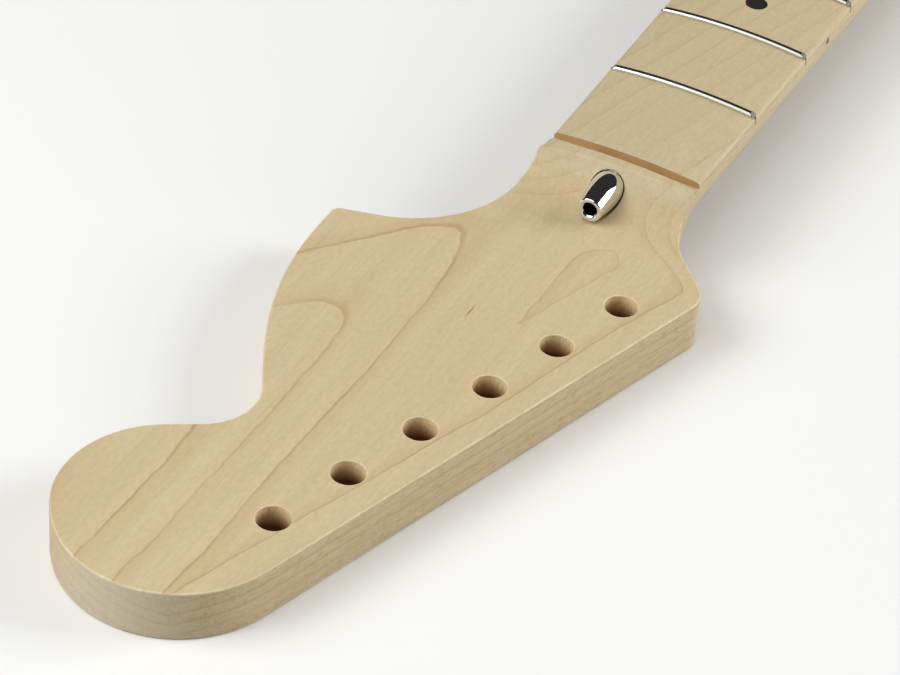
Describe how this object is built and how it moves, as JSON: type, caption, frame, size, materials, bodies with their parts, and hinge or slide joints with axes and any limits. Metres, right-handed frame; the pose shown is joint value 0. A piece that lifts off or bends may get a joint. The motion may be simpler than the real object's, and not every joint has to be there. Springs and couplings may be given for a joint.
{
  "type": "electric guitar neck",
  "caption": "One-piece maple bolt-on guitar neck with fretted crowned fingerboard, walnut back stripe, bullet truss-rod nut and large in-line headstock with bare tuner holes",
  "frame": {"origin": "centre of the heel's four screw holes, on the heel's flat back, which is level with the headstock's back", "axes": "+X along the neck from the heel to the headstock, +Y towards the bass strings and the tuners, +Z out of the fingerboard"},
  "size_m": [0.6641, 0.1029, 0.0266],
  "materials": {
    "maple": "bare, fine sanded",
    "walnut": "bare, fine sanded",
    "nickel_silver": "polished",
    "chrome": "polished plating",
    "steel": "bare",
    "black_inlay": "sanded flush"
  },
  "bodies": {
    "neck_body": {"neck": "maple", "heel_plug": "maple", "skunk_stripe": "walnut", "truss_rod": "steel", "truss_rod_anchor": "steel", "fret_01": "nickel_silver", "fret_02": "nickel_silver", "fret_03": "nickel_silver", "fret_04": "nickel_silver", "fret_05": "nickel_silver", "fret_06": "nickel_silver", "fret_07": "nickel_silver", "fret_08": "nickel_silver", "fret_09": "nickel_silver", "fret_10": "nickel_silver", "fret_11": "nickel_silver", "fret_12": "nickel_silver", "fret_13": "nickel_silver", "fret_14": "nickel_silver", "fret_15": "nickel_silver", "fret_16": "nickel_silver", "fret_17": "nickel_silver", "fret_18": "nickel_silver", "fret_19": "nickel_silver", "fret_20": "nickel_silver", "fret_21": "nickel_silver", "face_dot_03": "black_inlay", "face_dot_05": "black_inlay", "face_dot_07": "black_inlay", "face_dot_09": "black_inlay", "face_dot_12_a": "black_inlay", "face_dot_12_b": "black_inlay", "face_dot_15": "black_inlay", "face_dot_17": "black_inlay", "face_dot_19": "black_inlay", "face_dot_21": "black_inlay", "side_dot_03": "black_inlay", "side_dot_05": "black_inlay", "side_dot_07": "black_inlay", "side_dot_09": "black_inlay", "side_dot_12_a": "black_inlay", "side_dot_12_b": "black_inlay", "side_dot_15": "black_inlay", "side_dot_17": "black_inlay", "side_dot_19": "black_inlay", "side_dot_21": "black_inlay"},
    "rod_washer": {"truss_rod_washer": "steel"},
    "rod_nut": {"truss_rod_nut": "chrome"}
  },
  "joints": [
    {"name": "rod_nut_turn", "type": "hinge", "parent": "neck_body", "child": "rod_washer", "pos_m": [0.43065, -0.0009, 0.019], "axis": [1, 0, 0], "range_deg": [0, 720]},
    {"name": "rod_nut_advance", "type": "slide", "parent": "rod_washer", "child": "rod_nut", "axis": [1, 0, 0], "range_m": [0, 0.00159]}
  ],
  "couplings": [
    {"joint": "rod_nut_turn", "follows": "rod_nut_advance", "rad_per_m": 7915.8}
  ]
}
